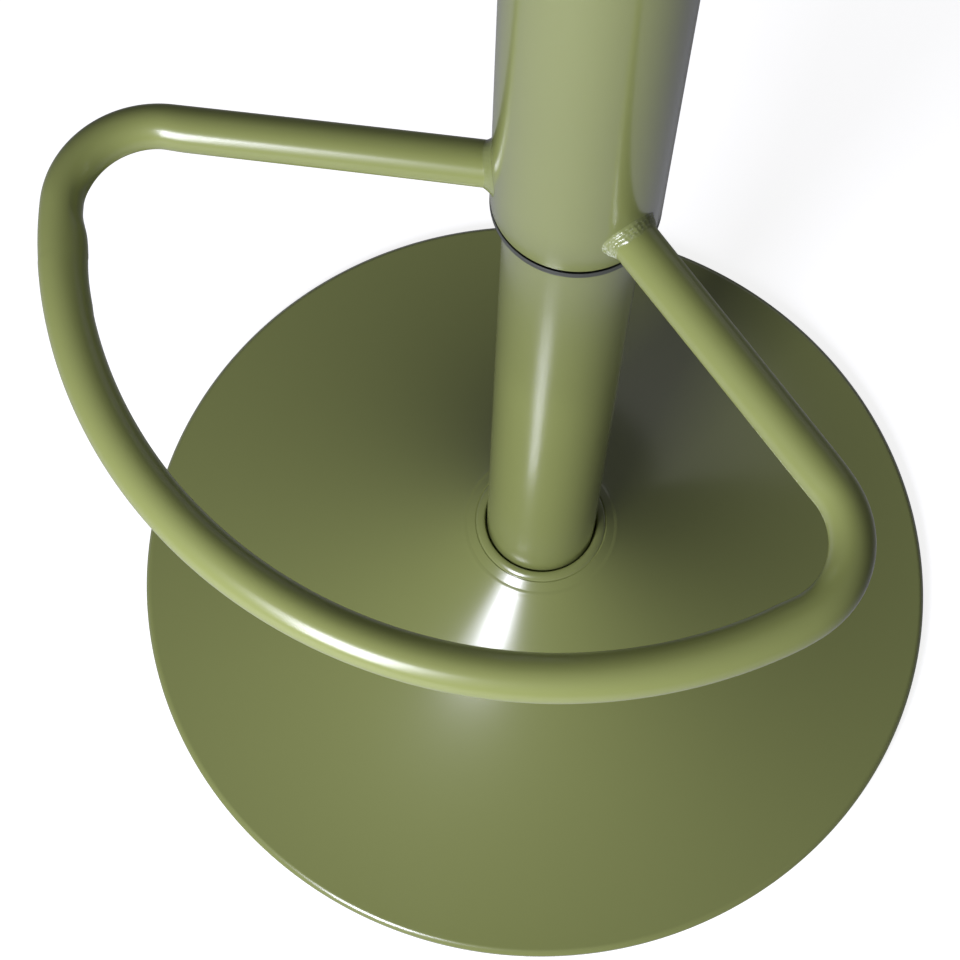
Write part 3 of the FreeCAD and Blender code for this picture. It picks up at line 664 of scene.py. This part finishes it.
def dust_grid():
    """A thin disc: its height less a sag, sin^2 over the way from the plate's reach to the edge,
    which puckers by sin(32 a + 0.7 sin 3a). The lower face lies one thickness below."""
    r = np.concatenate([[0.5], np.linspace(6, dust_radius, 60)])[:, None]
    a = np.linspace(0, 2 * np.pi, 128, endpoint=False)[None]
    free = np.clip((r - plate_reach) / (dust_radius - plate_reach), 0, 1)
    sag = np.sin(np.pi * free) ** 2 * (0.9 + 0.35 * np.sin(32 * a + 0.7 * np.sin(3 * a)))
    top = np.stack([r * np.cos(a), r * np.sin(a), dust_height - sag], 2)
    below = top[::-1] - [0, 0, dust_thickness]
    return np.concatenate([top, below])


dust = shell("dust_cloth", dust_grid(), material=cloth, ends="capped")
place(dust, "carriage", "black_cloth", "dust_cover")


# Seat pad
# A round pad of foam in olive leatherette: a crowned top panel and a side band, sewn together
# with a piped seam between them, and the band turned in under the board.

leather = paint("olive leatherette", (0.16, 0.18, 0.075), roughness=0.5)
add_grain(leather, cells=900, depth=0.00012, patches=8,
          colours=((0.145, 0.165, 0.066), (0.175, 0.196, 0.085)), roughness=(0.44, 0.56))
nodes, links, shader = parts_of(leather)
pores = nodes.new("ShaderNodeTexVoronoi")
pores.feature = "DISTANCE_TO_EDGE"
pores.inputs["Scale"].default_value = 620
links.new(nodes.new("ShaderNodeTexCoord").outputs["Object"], pores.inputs["Vector"])
pressed_in = nodes.new("ShaderNodeBump")
pressed_in.inputs["Distance"].default_value = 0.0002
pressed_in.inputs["Strength"].default_value = 0.7
links.new(pores.outputs["Distance"], pressed_in.inputs["Height"])
links.new(shader.inputs["Normal"].links[0].from_socket, pressed_in.inputs["Normal"])
links.new(pressed_in.outputs["Normal"], shader.inputs["Normal"])

hem_radius = 149.2
band_radius = 179.5
band_foot = 770.5
band_round = 5.0
band_top = 816.5
crown_round = 24.0
crown_top = 849.0
crown_fall = 8.6
seam_turn = math.radians(58)
seam = np.array([band_radius - crown_round + crown_round * math.cos(seam_turn),
                 band_top + crown_round * math.sin(seam_turn)])
recess_radius = 166.3
recess_top = 784.05
hem_inside = 772.05


def pad_outline():
    """The unfilled pad's outer profile: the turned-in hem, the lower edge, the side band, the
    upper edge, and the crown with height top - fall (r / 158)^2, which meet smoothly."""
    crown = np.linspace(154, 1, 39)
    return np.vstack([
        run((hem_radius, band_foot), (band_radius - band_round, band_foot), 5),
        arc((band_radius - band_round, band_foot + band_round), band_round, -math.pi / 2, 0, 1.0),
        run((band_radius, band_foot + band_round), (band_radius, band_top), 4),
        arc((band_radius - crown_round, band_top), crown_round, 0, 1.47, 2.0),
        np.stack([crown, crown_top - crown_fall * (crown / 158) ** 2], 1),
    ])


def coordinates(mesh):
    """All of a mesh's points in millimetres, as rows of three."""
    points = np.empty(len(mesh.vertices) * 3, np.float32)
    mesh.vertices.foreach_get("co", points)
    return points.reshape(-1, 3) * 1000


def evaluated(piece):
    """A piece with its modifiers worked out."""
    return piece.evaluated_get(bpy.context.evaluated_depsgraph_get())


def filled(grid, furthest=7.0, settling=20):
    """The grid as the filling swells it. A remeshed copy is blown up by cloth under pressure,
    held at the hem and along the seam, no point moves further than the given distance, and the
    grid is then laid on that copy along its normals, less and less towards the hem. The cloth
    is given this many frames to settle."""
    core = shell("filling", grid, ends="capped")
    remesh = core.modifiers.new("remesh", "REMESH")
    remesh.voxel_size = 0.005
    core.data = bpy.data.meshes.new_from_object(evaluated(core))
    core.modifiers.clear()
    start = coordinates(core.data)
    r = np.hypot(start[:, 0], start[:, 1])
    held = ((start[:, 2] < 774) & (r < 168)) | (np.hypot(r - seam[0], start[:, 2] - seam[1]) < 3.6)
    core.vertex_groups.new(name="held").add(np.flatnonzero(held).tolist(), 1.0, "REPLACE")
    swelling = core.modifiers.new("cloth", "CLOTH")
    swelling.settings.vertex_group_mass = "held"
    swelling.settings.use_pressure = True
    swelling.settings.uniform_pressure_force = 4.0
    swelling.settings.effector_weights.gravity = 0.0
    for moment in range(1, settling + 1):
        bpy.context.scene.frame_set(moment)
    move = coordinates(evaluated(core).data) - start
    move *= np.minimum(1, furthest / np.maximum(np.linalg.norm(move, axis=1), 0.001))[:, None]
    core.modifiers.clear()
    core.data.vertices.foreach_set("co", ((start + move) / 1000).ravel())
    core.data.update()
    bpy.context.scene.frame_set(1)
    skin = shell("laid", grid, ends="open")
    wrap = skin.modifiers.new("wrap", "SHRINKWRAP")
    wrap.target = core
    wrap.wrap_method = "PROJECT"
    wrap.use_negative_direction = True
    wrap.project_limit = 0.015
    laid = coordinates(evaluated(skin).data).reshape(grid.shape)
    for piece in (skin, core):
        bpy.data.objects.remove(piece)
    share = np.clip((grid[..., 2:] - 771) / 8, 0, 1)
    return grid + (laid - grid) * share * share * (3 - 2 * share)


def drawn_in(grid):
    """Valleys and puckers: the surface goes in along its normal by 1.8 mm at the seam, fading
    over 4 mm, with small folds across the seam, wider ones over the turned-in edge and the side
    band, and a narrow upright valley at the back, where the band's ends are sewn together."""
    r, z = np.hypot(grid[..., 0], grid[..., 1]), grid[..., 2]
    a = np.arctan2(grid[..., 1], grid[..., 0])
    away = np.hypot(r - seam[0], z - seam[1])
    folds = np.sin(74 * a + 2.1 * np.sin(5 * a) + 1.3 * np.sin(11 * a + 1))
    slow = np.sin(23 * a + 1.7 * np.sin(4 * a + 2)) + 0.6 * np.sin(9 * a + 1)
    depth = 1.8 * np.exp(-(away / 4) ** 2) + 0.26 * folds * np.exp(-(away / 13) ** 2)
    depth += (0.25 * slow + 0.12 * folds) * np.exp(-((z - 776) / 9) ** 2) * np.clip((r - 158) / 8, 0, 1)
    depth += 0.22 * slow * np.exp(-((z - 800) / 22) ** 2) * (r > 170)
    back_seam = np.exp(-(((a - math.pi / 2) * r) / 1.4) ** 2) * np.clip((seam[1] - z) / 8, 0, 1)
    depth += 0.9 * back_seam * (r > 160)
    out = np.stack([(r - 150) / 24, (z - 806) / 36], 2)
    out = out / np.maximum(np.linalg.norm(out, axis=2), 1)[..., None]
    change = -depth[..., None] * out
    return grid + np.stack([change[..., 0] * np.cos(a), change[..., 0] * np.sin(a), change[..., 1]], 2)


smooth_pad = turned(pad_outline())
pad_skin = drawn_in(filled(smooth_pad))
recess = turned(np.array([(1.0, recess_top), (recess_radius, recess_top),
                          (recess_radius, hem_inside), (hem_radius, hem_inside)]))
pad = shell("seat_pad", np.concatenate([recess, pad_skin]), material=leather, crease=60, ends="capped")
place(pad, "carriage", "upholstery", "seat_cover", "seat_foam")


def welt_grid():
    """The piping: a 4 mm cord of leatherette in the seam's valley, as a ring whose section is
    centre + 2.1 (cos t out, sin t up), and whose centre wanders by a tenth of a millimetre."""
    cord = 2.1
    a = np.linspace(0, 2 * np.pi, 320, endpoint=False)[:, None]
    t = np.linspace(0, 2 * np.pi, 12, endpoint=False)[None]
    row = np.argmin(np.hypot(*(pad_outline() - seam).T))
    valley = pad_skin[row]
    valley_radius = np.hypot(valley[:, 0], valley[:, 1]).mean()
    valley_height = valley[:, 2].mean()
    wander = 0.1 * np.sin(13 * a + 2 * np.sin(3 * a))
    r = valley_radius + 0.7 + wander + cord * np.cos(t)
    z = valley_height + 1.0 + 0.6 * wander + cord * np.sin(t)
    return np.stack([r * np.cos(a), r * np.sin(a), z], 2)


welt = shell("seat_piping", welt_grid(), material=leather, crease=80)
place(welt, "carriage", "upholstery")


# Staples
# Fine staples of zinc-plated wire, shot up through the turned-in hem and the dust cover.
# They hold both against the board.

def staple_grid(radius, height, count, spread):
    """Small bars, 10 mm long round the circle and a millimetre wide, as grids of 4 rings of 6
    points: each ring goes round the bar, and the bar's ends dip into the cloth."""
    rng = np.random.default_rng(3)
    middle = (np.arange(count) + rng.uniform(-spread, spread, count)) * 2 * np.pi / count
    lean = rng.uniform(-0.12, 0.12, count)
    along = np.array([-5.0, -4.4, 4.4, 5.0])
    dip = np.array([0.7, 0.0, 0.0, 0.7])
    t = np.linspace(0, 2 * np.pi, 6, endpoint=False)
    x = along[None, :, None] + 0 * t + 0 * middle[:, None, None]
    y = 0.55 * np.cos(t)[None, None] + lean[:, None, None] * along[None, :, None]
    z = height + dip[None, :, None] + 0.3 * np.sin(t)[None, None] + 0 * x
    c, s = np.cos(middle)[:, None, None], np.sin(middle)[:, None, None]
    return np.stack([(radius + y) * c - x * s, (radius + y) * s + x * c, z], 3)


bars = np.concatenate([staple_grid(156, 770.2, 44, 0.15), staple_grid(146, 770.9, 30, 0.2)])
number = np.arange(24).reshape(4, 6)
sides = np.stack([number[:3], np.roll(number[:3], -1, 1), np.roll(number[1:], -1, 1), number[1:]], 2)
caps = np.stack([number[0, ::-1], number[3]])
first_point = number.size * np.arange(len(bars))[:, None, None]
faces = [*(sides.reshape(-1, 4) + first_point).reshape(-1, 4).tolist(),
         *(caps + first_point).reshape(-1, 6).tolist()]
staple_mesh = bpy.data.meshes.new("hem_staples")
staple_mesh.from_pydata((bars.reshape(-1, 3) / 1000).tolist(), [], faces)
staple_mesh.materials.append(zinc)
staples = bpy.data.objects.new("hem_staples", staple_mesh)
bpy.context.scene.collection.objects.link(staples)
place(staples, "carriage", "bare_steel")


# Studio
# A pale floor that shows white to the camera but keeps the stool's shadow, two soft boxes in
# front and a faint one behind, and lamps that fill in the upright backs and the seat's top.
# The camera looks down on the foot loop.

def backdrop_light(nodes, links, camera_rays, mirrored_rays):
    """A strength of light with one value for the camera's rays and another for mirrored ones."""
    rays = nodes.new("ShaderNodeLightPath").outputs
    mirrored = worked_out(nodes, links, "MAXIMUM", rays["Is Glossy Ray"], rays["Is Transmission Ray"])
    mirrored = worked_out(nodes, links, "MULTIPLY", mirrored, mirrored_rays)
    shown = worked_out(nodes, links, "MULTIPLY", rays["Is Camera Ray"], camera_rays)
    return worked_out(nodes, links, "MAXIMUM", shown, mirrored)


white = (1.0, 1.0, 1.0)
cool = (0.97, 0.975, 1.13)
lit_middle = Vector((0, 0, 0.2))
half_floor = 40
floor_mesh = bpy.data.meshes.new("floor")
floor_mesh.from_pydata([(-half_floor, -half_floor, 0), (half_floor, -half_floor, 0),
                        (half_floor, half_floor, 0), (-half_floor, half_floor, 0)], [], [(0, 1, 2, 3)])
floor = bpy.data.objects.new("floor", floor_mesh)
bpy.context.scene.collection.objects.link(floor)
floor_paint = paint("pale floor", (0.5, 0.5, 0.5), roughness=0.9)
nodes, links, shader = parts_of(floor_paint)
shader.inputs["Emission Color"].default_value = (*white, 1)
links.new(backdrop_light(nodes, links, 0.85, 0.05), shader.inputs["Emission Strength"])
floor_mesh.materials.append(floor_paint)


def soft_box(name, azimuth, elevation, distance, width, height, watts, colour):
    """A rectangular lamp that faces the lit middle, placed by its direction's angles."""
    lamp = bpy.data.lights.new(name, "AREA")
    lamp.shape = "RECTANGLE"
    lamp.size, lamp.size_y, lamp.energy, lamp.color = width, height, watts, colour
    piece = bpy.data.objects.new(name, lamp)
    a, e = math.radians(azimuth), math.radians(elevation)
    direction = Vector((math.cos(a) * math.cos(e), math.sin(a) * math.cos(e), math.sin(e)))
    piece.location = lit_middle + direction * distance
    piece.rotation_euler = direction.to_track_quat("Z", "Y").to_euler()
    bpy.context.scene.collection.objects.link(piece)
    return piece


def light_only(lamp, lit):
    """Keeps a lamp's light to these pieces, and the lamp out of their reflections."""
    receivers = bpy.data.collections.new(lamp.name + " receivers")
    for piece in lit:
        receivers.objects.link(piece)
    lamp.visible_glossy = False
    lamp.light_linking.receiver_collection = receivers


soft_box("tall_box", -90, 25, 1.3, 0.34, 0.74, 16.5, cool)
soft_box("wide_box", -91, 33, 1.3, 0.6, 0.5, 4.2, cool)
soft_box("back_box", 90, 22, 1.6, 0.9, 0.8, 0.8, white)
fill_box = soft_box("fill_box", 90, 20, 2.0, 1.6, 1.2, 5.5, white)
seat_box = soft_box("seat_box", 90, 88, 1.9, 1.0, 1.0, 11, white)
light_only(fill_box, [piece for piece in bpy.context.scene.objects
                      if piece.type == "MESH" and piece not in (trumpet, floor)])
light_only(seat_box, [pad, welt])

world = bpy.data.worlds.new("studio")
world.use_nodes = True
nodes, links = world.node_tree.nodes, world.node_tree.links
backdrop = backdrop_light(nodes, links, 1.0, 0.11)
nodes["Background"].inputs["Color"].default_value = (*white, 1)
links.new(worked_out(nodes, links, "MAXIMUM", backdrop, 0.05), nodes["Background"].inputs["Strength"])
bpy.context.scene.world = world

camera_data = bpy.data.cameras.new("camera")
camera_data.lens = 86.5
camera_data.sensor_width = 36.0
camera = bpy.data.objects.new("camera", camera_data)
camera_place = (0.1689, -0.36827, 1.07925)
azimuth, elevation, camera_roll = np.radians([-61.195, 67.237, 2.42])
camera.matrix_world = (Matrix.Translation(camera_place) @ Matrix.Rotation(azimuth + math.pi / 2, 4, "Z")
                       @ Matrix.Rotation(math.pi / 2 - elevation, 4, "X")
                       @ Matrix.Rotation(camera_roll, 4, "Z"))
bpy.context.scene.collection.objects.link(camera)
bpy.context.scene.camera = camera
bpy.context.scene.view_settings.view_transform = "Standard"
